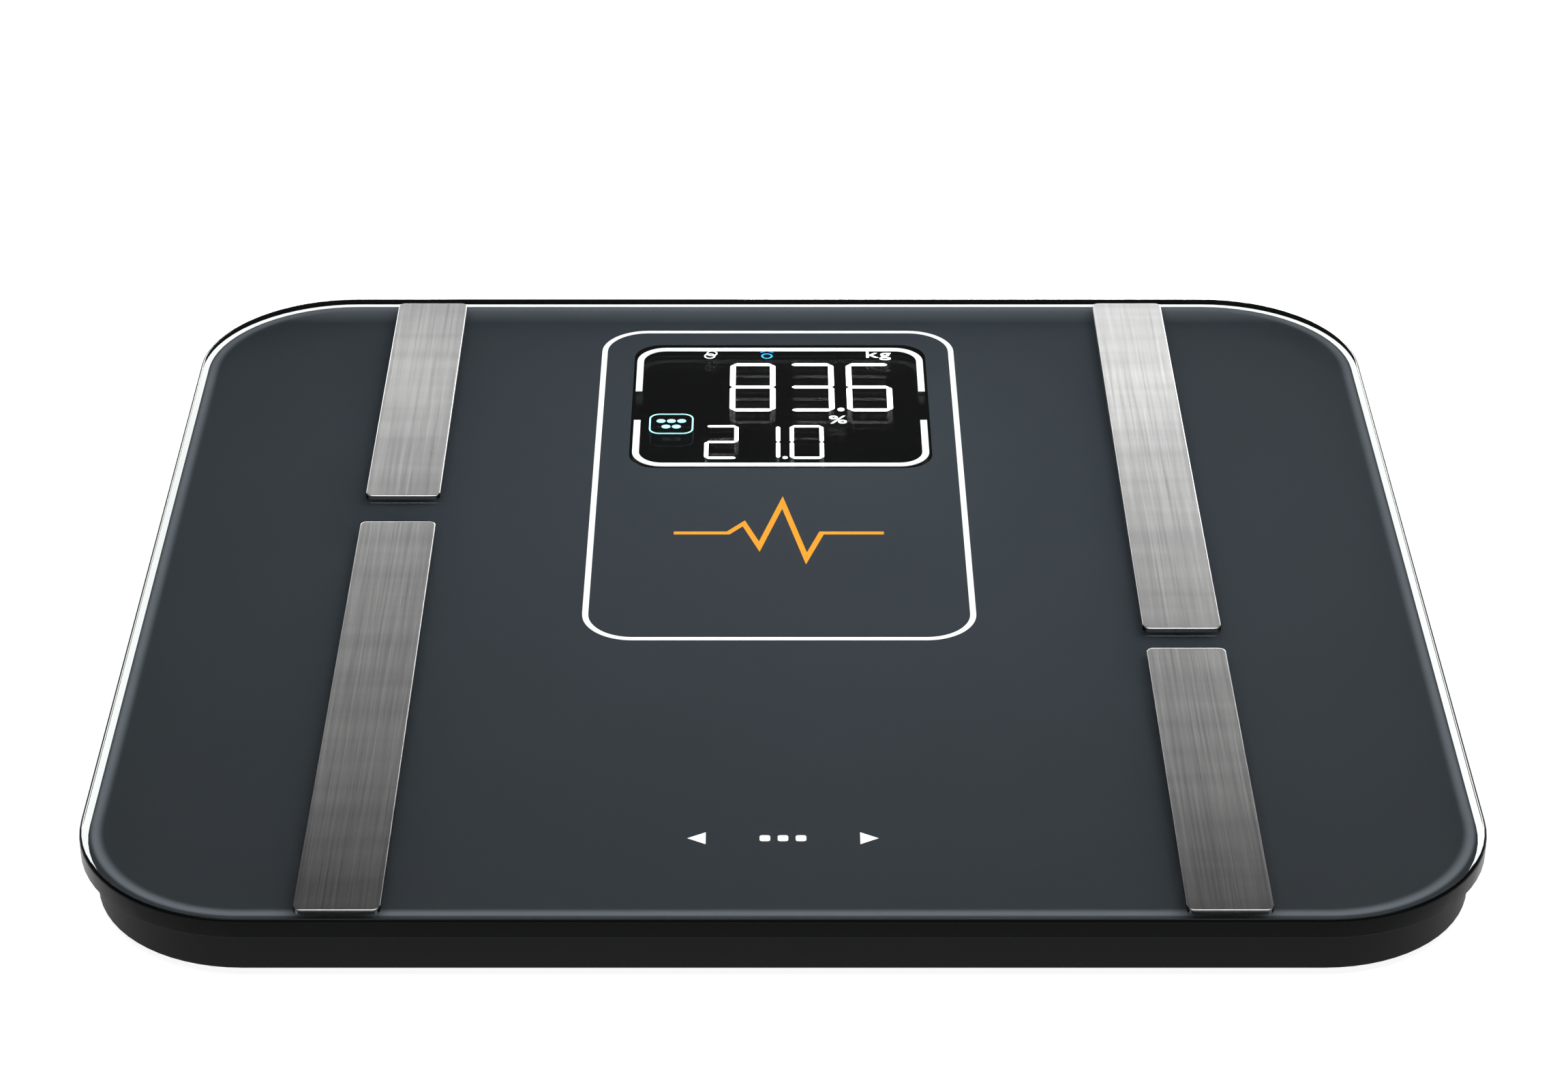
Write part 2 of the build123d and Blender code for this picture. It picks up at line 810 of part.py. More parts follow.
with BuildPart() as cell_holders:
    with BuildSketch(Plane.XY.offset(cell_holder_bottom)):
        with Locations(*foot_places):
            RectangleRounded(cell_holder_size, cell_holder_size, cell_holder_corner)
    extrude(amount=print_bottom - cell_holder_bottom)
    # pocket for the load cell, a lip under two of its sides, and room for the tongue above
    with BuildSketch(Plane.XY.offset(load_cell_bottom)):
        with Locations(*foot_places):
            pocket_size = load_cell_size + 2 * cell_clearance
            RectangleRounded(pocket_size, pocket_size, load_cell_corner + cell_clearance)
    extrude(amount=load_cell_thickness, mode=Mode.SUBTRACT)
    with BuildSketch(Plane.XY.offset(cell_holder_bottom)):
        with Locations(*foot_places):
            Rectangle(load_cell_size - 2 * cell_lip, pocket_size)
    extrude(amount=load_cell_bottom - cell_holder_bottom, mode=Mode.SUBTRACT)
    with BuildSketch(Plane.XY.offset(load_cell_top)):
        with Locations(*foot_places):
            Rectangle(tongue_room_size, tongue_room_size)
    extrude(amount=tongue_room_height, mode=Mode.SUBTRACT)
    # notches that let the leads out towards the middle
    with BuildSketch(Plane.XY.offset(load_cell_top)):
        with Locations(*notch_places):
            Rectangle(notch_length, notch_width)
    extrude(amount=notch_height, mode=Mode.SUBTRACT)
save(cell_holders, "cell_holders")

with BuildPart() as strain_gauges:
    with BuildSketch(Plane.XY.offset(load_cell_top)):
        for side, end in corners.values():
            with Locations((side * foot_across, end * (foot_along + gauge_offset))):
                Rectangle(gauge_length, gauge_width)
    extrude(amount=gauge_thickness)
save(strain_gauges, "strain_gauges")

# ---------------------------------------------------------------- leads inside the tray

rear_cell_route = [
    (103, 106, 10.3),
    (88, 106, 10.3),
    (74, 107, 8.8),
    (62, 105, 7.85),
    (50, 105.5, 7.8),
]
front_cell_route = [
    (103, -106, 10.3),
    (88, -106, 10.3),
    (80, -101, 7.8),
    (77, -86, 5.5),
    (79, -40, 5.35),
    (77, 10, 5.4),
    (74, 40, 5.7),
    (63, 52, 7.9),
    (50, 52.5, 7.8),
]
rear_strip_route = [
    (93.5, 60, 11.8),
    (84, 60.5, 11.6),
    (74, 59, 9),
    (64, 61, 7.6),
    (50, 61.5, 7.5),
]
left_strip_route = [
    (93.5, -30, 11.8),
    (84, -29, 11.4),
    (76, -23, 8),
    (72, -8, 5.3),
    (70, 14, 5.1),
    (66, 34, 5.6),
    (59.5, 43, 7.6),
    (50, 44, 7.5),
]
right_strip_route = [
    (93.5, -70, 11.8),
    (84, -69, 11.4),
    (76, -62, 8),
    (72, -44, 5.3),
    (70, -8, 5.1),
    (66, 32, 5.6),
    (59.5, 43, 7.6),
    (50, 44, 7.5),
]
supply_route = [
    (4, -5.2, 9.3),
    (4.4, 5, 9.2),
    (3, 17, 6.2),
    (4, 27, 5.6),
    (3.4, 35.5, 7.85),
    (4, 46, 7.8),
]


def make_lead(name, radius, route, side):
    """One round lead along its route; side -1 puts it on the left half of the scale."""
    points = [(side * x, y, z) for x, y, z in route]
    radii = bend_radii(points)
    print(name, "bend radii", [round(value, 1) for value in radii])
    with BuildPart() as lead:
        with BuildLine() as path:
            FilletPolyline(*points, radius=radii)
        start_direction = Vector(*points[1]) - Vector(*points[0])
        with BuildSketch(Plane(origin=points[0], z_dir=start_direction)):
            Circle(radius)
        sweep(path=path.wires()[0])
    save(lead, name)


make_lead("cell_lead_left_rear", lead_radius, rear_cell_route, -1)
make_lead("cell_lead_right_rear", lead_radius, rear_cell_route, 1)
make_lead("cell_lead_left_front", lead_radius, front_cell_route, -1)
make_lead("cell_lead_right_front", lead_radius, front_cell_route, 1)
make_lead("electrode_lead_left_rear", thin_lead_radius, rear_strip_route, -1)
make_lead("electrode_lead_right_rear", thin_lead_radius, rear_strip_route, 1)
make_lead("electrode_lead_left_front", thin_lead_radius, left_strip_route, -1)
make_lead("electrode_lead_right_front", thin_lead_radius, right_strip_route, 1)
make_lead("supply_lead", lead_radius, supply_route, 1)
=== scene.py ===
# %% [markdown]
# # A glass bathroom scale
# The scale is a sheet of clear tempered glass, printed slate grey on its back, glued on a black tray.
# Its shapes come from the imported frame, in metres, so this lesson is mostly about finishes: clear
# glass over ink, brushed steel strips, satin black plastic and a lit display.

import json
from math import pi, radians, sin

import bpy
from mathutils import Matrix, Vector


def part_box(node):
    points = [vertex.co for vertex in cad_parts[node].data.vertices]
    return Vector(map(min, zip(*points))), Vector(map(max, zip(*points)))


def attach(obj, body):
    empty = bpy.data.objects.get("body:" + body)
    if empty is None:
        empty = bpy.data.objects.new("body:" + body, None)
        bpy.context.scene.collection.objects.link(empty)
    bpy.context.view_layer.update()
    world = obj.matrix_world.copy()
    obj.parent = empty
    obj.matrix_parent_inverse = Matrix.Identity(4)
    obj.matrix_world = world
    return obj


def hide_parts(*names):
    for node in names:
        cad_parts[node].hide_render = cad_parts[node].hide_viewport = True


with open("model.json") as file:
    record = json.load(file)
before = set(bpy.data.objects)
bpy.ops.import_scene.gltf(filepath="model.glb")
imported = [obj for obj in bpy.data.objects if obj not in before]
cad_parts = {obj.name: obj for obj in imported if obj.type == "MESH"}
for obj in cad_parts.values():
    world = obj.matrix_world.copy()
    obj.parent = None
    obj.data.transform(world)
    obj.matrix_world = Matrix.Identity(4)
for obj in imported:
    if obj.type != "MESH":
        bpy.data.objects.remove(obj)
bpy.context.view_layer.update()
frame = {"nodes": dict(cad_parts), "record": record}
nodes = frame["nodes"]
mm = 0.001

# %% [markdown]
# ## Camera
# The scale is seen from above its near edge, looking down by a little under 30 degrees with a long
# lens, so that the far edge is only slightly shorter than the near one. The eye stands a little to
# the left of the middle, and a small sideways shift centres the scale again.

# %% Place the camera
glass_low, glass_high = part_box("glass_platform")
eye_above_glass = 510.44 * mm
eye_height = glass_high.z + eye_above_glass
eye_back = 876.35 * mm
eye_left = 3.61 * mm
look_down = 29.85  # degrees
focal_length = 92.32
sensor_width = 36.0
sideways_shift = 0.0108

camera_data = bpy.data.cameras.new("camera")
camera_data.lens = focal_length
camera_data.sensor_width = sensor_width
camera_data.shift_x = sideways_shift
camera = bpy.data.objects.new("camera", camera_data)
camera.location = (-eye_left, -eye_back, eye_height)
camera.rotation_euler = (radians(90 - look_down), 0, 0)
bpy.context.scene.collection.objects.link(camera)
bpy.context.scene.camera = camera
print("camera is", round(eye_height / mm), "mm above the floor")

# %% [markdown]
# ## Floor and studio light
# A wide pale floor and three soft lights: a large one overhead, a low one behind the scale and to
# its right, and a weaker one behind and to its left. Brushed steel gathers the low lights. Plain
# glass is a mirror that looks past them, so the panel stays dark.

# %% Helpers for colours and nodes
def linear(code, alpha=1.0):
    """An sRGB hex colour as linear RGBA."""
    values = [int(code[i:i + 2], 16) / 255 for i in (0, 2, 4)]
    channels = [v / 12.92 if v <= 0.04045 else ((v + 0.055) / 1.055) ** 2.4 for v in values]
    return (*channels, alpha)


def add(owner, kind, inputs=None, **settings):
    """Adds one node to a material or world. An input given as a socket is linked, any other is set."""
    tree = owner.node_tree
    node = tree.nodes.new(kind)
    for name, value in settings.items():
        setattr(node, name, value)
    for key, value in (inputs or {}).items():
        if isinstance(value, bpy.types.NodeSocket):
            tree.links.new(value, node.inputs[key])
        else:
            node.inputs[key].default_value = value
    return node


def new_material(name):
    """A material with nothing in it but its output."""
    material = bpy.data.materials.new(name)
    material.use_nodes = True
    material.node_tree.nodes.clear()
    return material


def finish_material(material, shader):
    """Sends a shader to the material's output."""
    add(material, "ShaderNodeOutputMaterial", {"Surface": shader.outputs[0]})
    print("finish", material.name)
    return material


# %% Floor
floor_width = 30  # metres
floor_grain_size = 2.5 * mm

bpy.ops.object.select_all(action="DESELECT")
bpy.ops.mesh.primitive_plane_add(size=floor_width, location=(0, 0, 0))
floor = bpy.context.object
floor.name = "floor"

floor_paint = new_material("matt_white_paint")
floor_place = add(floor_paint, "ShaderNodeTexCoord")
floor_grain = add(floor_paint, "ShaderNodeTexNoise", {
    "Vector": floor_place.outputs["Object"],
    "Scale": 1 / floor_grain_size,
})
floor_bump = add(floor_paint, "ShaderNodeBump", {"Height": floor_grain.outputs[0], "Distance": 0.1 * mm})
floor_shader = add(floor_paint, "ShaderNodeBsdfPrincipled", {
    "Base Color": linear("9C9C9C"),
    "Roughness": 0.9,
    "Specular IOR Level": 0.1,
    "Normal": floor_bump.outputs[0],
    "Emission Color": (1, 1, 1, 1),
    "Emission Strength": 0.92,
})
floor.data.materials.append(finish_material(floor_paint, floor_shader))

# %% World and lights
mirror_dim = 0.03
horizon_glow = 0.16
glow_bottom = sin(radians(6))
glow_top = sin(radians(22))

world = bpy.data.worlds.new("studio")
bpy.context.scene.world = world
world.use_nodes = True
world.node_tree.nodes.clear()
direction = add(world, "ShaderNodeTexCoord")
height = add(world, "ShaderNodeSeparateXYZ", {0: direction.outputs["Generated"]})
sky_level = add(world, "ShaderNodeMapRange", {
    "Value": height.outputs["Z"],
    "From Min": glow_bottom,
    "From Max": glow_top,
    "To Min": horizon_glow,
    "To Max": mirror_dim,
}, interpolation_type="SMOOTHSTEP")
sky = add(world, "ShaderNodeBackground", {"Color": (1, 1, 1, 1), "Strength": sky_level.outputs[0]})
add(world, "ShaderNodeOutputWorld", {"Surface": sky.outputs[0]})


def soft_light(name, place, aim, width, height, watts):
    """A rectangular soft box that looks from its place towards a point."""
    data = bpy.data.lights.new(name, "AREA")
    data.shape = "RECTANGLE"
    data.size = width
    data.size_y = height
    data.energy = watts
    light = bpy.data.objects.new(name, data)
    light.location = place
    light.rotation_euler = (Vector(aim) - Vector(place)).to_track_quat("-Z", "Y").to_euler()
    bpy.context.scene.collection.objects.link(light)
    print("light", name, watts, "W")


# places, aims and sizes of the lamps are in metres
soft_light("overhead", place=(0.15, -0.45, 1.8), aim=(0, 0, 0), width=2.0, height=1.3, watts=44)
soft_light("low_right", place=(0.42, 1.5, 0.31), aim=(0.08, 0.1, 0), width=0.9, height=0.5, watts=14)
soft_light("low_left", place=(-0.5, 1.5, 0.31), aim=(-0.08, 0.1, 0), width=0.6, height=0.5, watts=6)
bpy.context.scene.view_settings.view_transform = "Standard"

# %% [markdown]
# ## Tempered glass
# Soda-lime float glass, ground at the edge and polished, then tempered. It is clear, with a faint
# green in its depth. A real sheet of glass is used, not a tinted coat, because the ink stops short
# of the edge: there the eye looks straight through to the pale floor, which gives the thin white
# line round the far and side edges, and the ground edge shows dark.

# %% Glass
roller_wave_length = 60 * mm
roller_wave_depth = 0.01 * mm

tempered_glass = new_material("tempered_float_glass")
glass_place = add(tempered_glass, "ShaderNodeTexCoord")
roller_wave = add(tempered_glass, "ShaderNodeTexNoise", {
    "Vector": glass_place.outputs["Object"],
    "Scale": 1 / roller_wave_length,
})
glass_bump = add(tempered_glass, "ShaderNodeBump", {
    "Height": roller_wave.outputs[0],
    "Distance": roller_wave_depth,
})
glass_shader = add(tempered_glass, "ShaderNodeBsdfPrincipled", {
    "Base Color": linear("F9FCFB"),
    "Roughness": 0.0,
    "IOR": 1.52,
    "Transmission Weight": 1.0,
    "Normal": glass_bump.outputs[0],
})
lamp_path = add(tempered_glass, "ShaderNodeLightPath")
lamp_pass = add(tempered_glass, "ShaderNodeBsdfTransparent", {"Color": linear("F6F8F8")})
lit_through = add(tempered_glass, "ShaderNodeMixShader", {
    0: lamp_path.outputs["Is Shadow Ray"],
    1: glass_shader.outputs[0],
    2: lamp_pass.outputs[0],
})
finish_material(tempered_glass, lit_through)

# %% [markdown]
# ## Ink on the back of the glass
# Screen-printed ceramic ink is matt and even. Close to the rim it looks lighter, because light
# that enters through the clear border spreads inside the sheet and comes back off the ink. The
# distance to the rim is worked out from the rounded outline, in the piece's own coordinates. The
# glow lies further in at the near edge, and along the far edge a fainter one reaches further. The ink
# is also painted paler round a point near the middle and deeper away from it, a painted pool of light.
# The glow could be left to light traced inside the sheet, but that takes very many samples, so it is
# drawn in the ink as a painted glow.

# %% Slate grey ink
plate_half = (glass_high - glass_low) / 2
rim_corner = 40 * mm
print_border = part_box("back_print")[0].x - glass_low.x
halo_start = print_border - 0.2 * mm
halo_peak = print_border + 0.9 * mm
halo_turn = halo_peak + 0.3 * mm
halo_end = print_border + 3.4 * mm
near_shift = 1.2 * mm
far_glow_depth = 10 * mm
far_glow_strength = 0.85
glow_colour = linear("54595E")
mottle_size = 45 * mm
painted_pool_centre = (20 * mm, 60 * mm, 13 * mm)
palest_reach, deepest_reach = 20 * mm, 240 * mm
palest, deepest = 1.12, 0.5

slate_ink = new_material("slate_screen_ink")
ink_place = add(slate_ink, "ShaderNodeTexCoord")
shifted = add(slate_ink, "ShaderNodeVectorMath", {
    0: ink_place.outputs["Object"],
    1: (0, -near_shift, 0),
}, operation="ADD")
unsigned = add(slate_ink, "ShaderNodeVectorMath", {0: shifted.outputs[0]}, operation="ABSOLUTE")
core = (plate_half.x - rim_corner, plate_half.y - near_shift - rim_corner, 1.0)
past_core = add(slate_ink, "ShaderNodeVectorMath", {
    0: unsigned.outputs[0],
    1: core,
}, operation="SUBTRACT")
outward = add(slate_ink, "ShaderNodeVectorMath", {
    0: past_core.outputs[0],
    1: (0, 0, 0),
}, operation="MAXIMUM")
reach = add(slate_ink, "ShaderNodeVectorMath", {0: outward.outputs[0]}, operation="LENGTH")
rim_distance = add(slate_ink, "ShaderNodeMath", {
    0: rim_corner,
    1: reach.outputs["Value"],
}, operation="SUBTRACT")
halo_rise = add(slate_ink, "ShaderNodeMapRange", {
    "Value": rim_distance.outputs[0],
    "From Min": halo_start,
    "From Max": halo_peak,
}, interpolation_type="SMOOTHSTEP")
halo_fade = add(slate_ink, "ShaderNodeMapRange", {
    "Value": rim_distance.outputs[0],
    "From Min": halo_end,
    "From Max": halo_turn,
}, interpolation_type="SMOOTHSTEP")
halo = add(slate_ink, "ShaderNodeMath", {
    0: halo_rise.outputs[0],
    1: halo_fade.outputs[0],
}, operation="MULTIPLY")
ink_mottle = add(slate_ink, "ShaderNodeTexNoise", {
    "Vector": ink_place.outputs["Object"],
    "Scale": 1 / mottle_size,
    "Detail": 3.0,
})
ink_colour = add(slate_ink, "ShaderNodeMix", {
    "Factor": ink_mottle.outputs[0],
    6: linear("242B31"),
    7: linear("272E35"),
}, data_type="RGBA")
# painted pool of light: the ink is paler round a point near the middle and deeper away from it
from_middle = add(slate_ink, "ShaderNodeVectorMath", {
    0: ink_place.outputs["Object"],
    1: painted_pool_centre,
}, operation="DISTANCE")
painted_pool_falloff = add(slate_ink, "ShaderNodeMapRange", {
    "Value": from_middle.outputs["Value"],
    "From Min": palest_reach,
    "From Max": deepest_reach,
    "To Min": palest,
    "To Max": deepest,
})
shaded_colour = add(slate_ink, "ShaderNodeVectorMath", {
    0: ink_colour.outputs[2],
    "Scale": painted_pool_falloff.outputs[0],
}, operation="SCALE")
ink_axes = add(slate_ink, "ShaderNodeSeparateXYZ", {0: ink_place.outputs["Object"]})
far_glow = add(slate_ink, "ShaderNodeMapRange", {
    "Value": ink_axes.outputs["Y"],
    "From Min": plate_half.y - print_border - far_glow_depth,
    "From Max": plate_half.y - print_border,
    "To Max": far_glow_strength,
})
far_lit_colour = add(slate_ink, "ShaderNodeMix", {
    "Factor": far_glow.outputs[0],
    6: shaded_colour.outputs[0],
    7: glow_colour,
}, data_type="RGBA")
ink_with_halo = add(slate_ink, "ShaderNodeMix", {
    "Factor": halo.outputs[0],
    6: far_lit_colour.outputs[2],
    7: glow_colour,
}, data_type="RGBA")
ink_shader = add(slate_ink, "ShaderNodeBsdfPrincipled", {
    "Base Color": ink_with_halo.outputs[2],
    "Roughness": 0.6,
    "Specular IOR Level": 0.2,
})
finish_material(slate_ink, ink_shader)


# %% White and orange ink
ink_grain_size = 2 * mm


def plain_ink(name, pale, deep):
    """Opaque screen ink: two close tones of one colour in fine grain."""
    ink = new_material(name)
    place = add(ink, "ShaderNodeTexCoord")
    grain = add(ink, "ShaderNodeTexNoise", {"Vector": place.outputs["Object"], "Scale": 1 / ink_grain_size})
    colour = add(ink, "ShaderNodeMix", {
        "Factor": grain.outputs[0],
        6: linear(pale),
        7: linear(deep),
    }, data_type="RGBA")
    shader = add(ink, "ShaderNodeBsdfPrincipled", {
        "Base Color": colour.outputs[2],
        "Roughness": 0.6,
        "Specular IOR Level": 0.2,
    })
    return finish_material(ink, shader)


white_ink = plain_ink("white_screen_ink", "FAFCFC", "F0F3F4")
orange_ink = plain_ink("orange_screen_ink", "F0A02A", "E6921C")

# %% [markdown]
# ## Brushed stainless steel
# The strips are cut from sheet that was brushed along its length. Each scratch is a fine groove, so
# the shine spreads sideways and the face looks satin, with soft bands across it. The scratches are
# noise that is stretched along the strip. Real ones are under 0.1 mm apart, and are drawn coarser.
# The long cut edges are coloured dark, a painted shade line along the strip's sides. The face is
# darkened with painted shade towards the front and back of the scale, where these lamps light it too
# strongly.

# %% Steel
scratch_width = 0.5 * mm
scratch_length = 60 * mm
band_length = 9 * mm
band_width = 80 * mm
tone_low, tone_high = 0.7, 1.3
painted_end_shade_starts = 95 * mm
painted_end_shade_ends = 152 * mm
painted_end_shade_tone = 0.56
# painted shade: the long cut edges of the strip are coloured dark
painted_side_shade_colour = linear("1A1A1A")
side_shade_begins, side_shade_full = 0.35, 0.75  # how far a face has to turn sideways to count as the cut edge

brushed_steel = new_material("brushed_stainless_steel")
steel_place = add(brushed_steel, "ShaderNodeTexCoord")
along = add(brushed_steel, "ShaderNodeMapping", {
    "Vector": steel_place.outputs["Object"],
    "Scale": (1 / scratch_width, 1 / scratch_length, 1 / scratch_width),
})
scratches = add(brushed_steel, "ShaderNodeTexNoise", {
    "Vector": along.outputs[0],
    "Scale": 1.0,
    "Detail": 4.0,
    "Roughness": 0.7,
})
across = add(brushed_steel, "ShaderNodeMapping", {
    "Vector": steel_place.outputs["Object"],
    "Scale": (1 / band_width, 1 / band_length, 1),
})
bands = add(brushed_steel, "ShaderNodeTexNoise", {
    "Vector": across.outputs[0],
    "Scale": 1.0,
    "Detail": 2.0,
})
tone = add(brushed_steel, "ShaderNodeMath", {
    0: scratches.outputs[0],
    1: bands.outputs[0],
}, operation="ADD")
tone_range = add(brushed_steel, "ShaderNodeMapRange", {
    "Value": tone.outputs[0],
    "From Min": tone_low,
    "From Max": tone_high,
})
steel_colour = add(brushed_steel, "ShaderNodeMix", {
    "Factor": tone_range.outputs[0],
    6: linear("B4B4B4"),
    7: linear("CDCDCC"),
}, data_type="RGBA")
steel_axes = add(brushed_steel, "ShaderNodeSeparateXYZ", {0: steel_place.outputs["Object"]})
end_reach = add(brushed_steel, "ShaderNodeMath", {0: steel_axes.outputs["Y"]}, operation="ABSOLUTE")
# painted shade: the steel darkens towards both ends of the strip
painted_end_shade = add(brushed_steel, "ShaderNodeMapRange", {
    "Value": end_reach.outputs[0],
    "From Min": painted_end_shade_starts,
    "From Max": painted_end_shade_ends,
    "To Min": 1.0,
    "To Max": painted_end_shade_tone,
})
steel_with_end_shade = add(brushed_steel, "ShaderNodeVectorMath", {
    0: steel_colour.outputs[2],
    "Scale": painted_end_shade.outputs[0],
}, operation="SCALE")
steel_facing = add(brushed_steel, "ShaderNodeSeparateXYZ", {0: steel_place.outputs["Normal"]})
sideways = add(brushed_steel, "ShaderNodeMath", {0: steel_facing.outputs["X"]}, operation="ABSOLUTE")
# painted shade: faces turned sideways take the dark edge colour
painted_side_shade = add(brushed_steel, "ShaderNodeMapRange", {
    "Value": sideways.outputs[0],
    "From Min": side_shade_begins,
    "From Max": side_shade_full,
})
steel_with_side_shade = add(brushed_steel, "ShaderNodeMix", {
    "Factor": painted_side_shade.outputs[0],
    6: steel_with_end_shade.outputs[0],
    7: painted_side_shade_colour,
}, data_type="RGBA")
steel_rough = add(brushed_steel, "ShaderNodeMapRange", {
    "Value": scratches.outputs[0],
    "To Min": 0.24,
    "To Max": 0.36,
})
steel_bump = add(brushed_steel, "ShaderNodeBump", {
    "Height": scratches.outputs[0],
    "Strength": 0.25,
    "Distance": 0.02 * mm,
})
steel_side = add(brushed_steel, "ShaderNodeCombineXYZ", {0: 1.0})
steel_shader = add(brushed_steel, "ShaderNodeBsdfPrincipled", {
    "Base Color": steel_with_side_shade.outputs[2],
    "Metallic": 1.0,
    "Roughness": steel_rough.outputs[0],
    "Anisotropic": 0.7,
    "Tangent": steel_side.outputs[0],
    "Normal": steel_bump.outputs[0],
})
finish_material(brushed_steel, steel_shader)

# %% [markdown]
# ## Moulded plastic, rubber and the pieces inside
# The tray is injection-moulded ABS with a fine spark texture, which gives a soft sheen instead of a
# mirror. Rubber is duller, and its grain is a little coarser. Each could have nodes of its own, but
# they differ only in colour, grain and gloss, so one function makes all of them.

# %% Moulded finishes
cloud_size = 12 * mm
gloss_spread = 0.06


def moulded(name, pale, deep, grain_mm, rough, metal=0.0, shine=0.5, depth_mm=0.01):
    """A moulded or stamped finish: two tones in cloudy patches, and a fine grain in bump and gloss."""
    material = new_material(name)
    place = add(material, "ShaderNodeTexCoord")
    cloud = add(material, "ShaderNodeTexNoise", {
        "Vector": place.outputs["Object"],
        "Scale": 1 / cloud_size,
        "Detail": 3.0,
    })
    grain = add(material, "ShaderNodeTexNoise", {
        "Vector": place.outputs["Object"],
        "Scale": 1 / (grain_mm * mm),
        "Detail": 2.0,
    })
    colour = add(material, "ShaderNodeMix", {
        "Factor": cloud.outputs[0],
        6: linear(pale),
        7: linear(deep),
    }, data_type="RGBA")
    gloss = add(material, "ShaderNodeMapRange", {
        "Value": grain.outputs[0],
        "To Min": rough - gloss_spread,
        "To Max": rough + gloss_spread,
    })
    bump = add(material, "ShaderNodeBump", {
        "Height": grain.outputs[0],
        "Strength": 0.4,
        "Distance": depth_mm * mm,
    })
    shader = add(material, "ShaderNodeBsdfPrincipled", {
        "Base Color": colour.outputs[2],
        "Metallic": metal,
        "Roughness": gloss.outputs[0],
        "Specular IOR Level": shine,
        "Normal": bump.outputs[0],
    })
    return finish_material(material, shader)


# %% Lit segments
lit_grain_size = 1.5 * mm
lit_shade = 0.94  # the deeper tone of a lit segment, as a share of the paler one


def lit_ink(name, code, strength):
    """A display segment lit from behind: even colour with a faint grain, giving its own light."""
    material = new_material(name)
    place = add(material, "ShaderNodeTexCoord")
    grain = add(material, "ShaderNodeTexNoise", {
        "Vector": place.outputs["Object"],
        "Scale": 1 / lit_grain_size,
    })
    colour = add(material, "ShaderNodeMix", {
        "Factor": grain.outputs[0],
        6: linear(code),
        7: tuple(lit_shade * v for v in linear(code)[:3]) + (1.0,),
    }, data_type="RGBA")
    shader = add(material, "ShaderNodeBsdfPrincipled", {
        "Base Color": colour.outputs[2],
        "Roughness": 0.5,
        "Emission Color": colour.outputs[2],
        "Emission Strength": strength,
    })
    return finish_material(material, shader)


# %% A finish for each slot
# moulded() takes a name, a pale tone, a deep tone, the size of its grain in mm and a roughness
finishes = {
    "tempered_glass": tempered_glass,
    "grey_ink": slate_ink,
    "white_ink": white_ink,
    "orange_ink": orange_ink,
    "brushed_stainless": brushed_steel,
    "tray_plastic": moulded("black_abs", "181819", "141415", 0.5, 0.5, shine=0.09),
    "foam_tape": moulded("black_foam_tape", "0C0C0C", "080808", 0.4, 0.9),
    "foot_rubber": moulded("black_foot_rubber", "262626", "1E1E1E", 0.6, 0.75),
    "foot_plastic": moulded("grey_nylon", "3A3A3B", "333334", 0.5, 0.5),
    "silicone": moulded("grey_silicone", "A6A6A4", "9A9A98", 0.5, 0.55),
    "spring_steel": moulded("nickel_plated_spring_steel", "B9B7B0", "A9A7A1", 0.3, 0.35, metal=1.0),
    "holder_plastic": moulded("black_pbt", "1C1C1D", "161617", 0.5, 0.5),
    "gauge_film": moulded("coated_gauge_film", "C9A055", "B48B40", 0.2, 0.4),
    "circuit_board": moulded("green_solder_mask", "1E6A3C", "185A32", 0.3, 0.3),
    "chip_plastic": moulded("black_epoxy", "1A1A1C", "131314", 0.2, 0.55),
    "cell_steel": moulded("polished_cell_can", "D8D8D4", "CBCBC7", 0.2, 0.22, metal=1.0),
    "contact_steel": moulded("nickel_plated_leaf", "CFCCC2", "C2BFB5", 0.2, 0.3, metal=1.0),
    "fixing_steel": moulded("zinc_plated_steel", "C4C6C8", "B4B6B9", 0.2, 0.32, metal=1.0),
    "tinned_brass": moulded("tin_plated_brass", "CFC6A8", "BFB595", 0.2, 0.35, metal=1.0),
    "display_glass": moulded("dark_display_glass", "050505", "040404", 0.3, 0.08, shine=0.03),
    "clear_acrylic": moulded("light_guide_acrylic", "E8EEF0", "DDE4E6", 0.4, 0.2),
    "reflector_film": moulded("white_reflector_film", "F2F2F0", "E9E9E7", 0.4, 0.6),
    "led_resin": moulded("phosphor_resin", "F0E28C", "E6D676", 0.2, 0.35),
    "connector_rubber": moulded("striped_connector_rubber", "3A3A40", "2C2C31", 0.2, 0.6),
    "contact_foam": moulded("conductive_foam", "2E2E30", "242426", 0.5, 0.85),
    "ribbon_plastic": moulded("grey_ribbon_cable", "C8C8C4", "BBBBB7", 0.6, 0.45),
    "lead_jacket": moulded("black_pvc_jacket", "202021", "1A1A1B", 0.3, 0.45),
    "thin_lead": moulded("red_pvc_jacket", "A52A24", "93231E", 0.3, 0.45),
    "button_plastic": moulded("grey_abs", "6A6B6D", "606163", 0.4, 0.45),
    "switch_body": moulded("black_switch_body", "1E1E20", "18181A", 0.2, 0.5),
}
slot_of = {part["node"]: part["material_slot"] for part in frame["record"]["subparts"]}
for name, node in nodes.items():
    node.data.materials.clear()
    node.data.materials.append(finishes[slot_of[name]])
print("finished", len(nodes), "nodes with", len(finishes), "finishes")

# %% [markdown]
# ## Ink in contact with the glass
# In the frame the ink's face and the glass's face lie in the same plane, and a ray of light can't
# tell which comes first. Real ink wets the glass, with no air between. Each print is copied, its
# loose triangles are merged, and its upper face is raised by a hair into the glass, so that a ray
# inside the glass always meets ink.

# %% Helpers for copies of frame pieces
merge_distance = 0.001 * mm


def select_only(piece):
    """Deselects all, then selects one object and makes it active."""
    bpy.ops.object.select_all(action="DESELECT")
    piece.select_set(True)
    bpy.context.view_layer.objects.active = piece


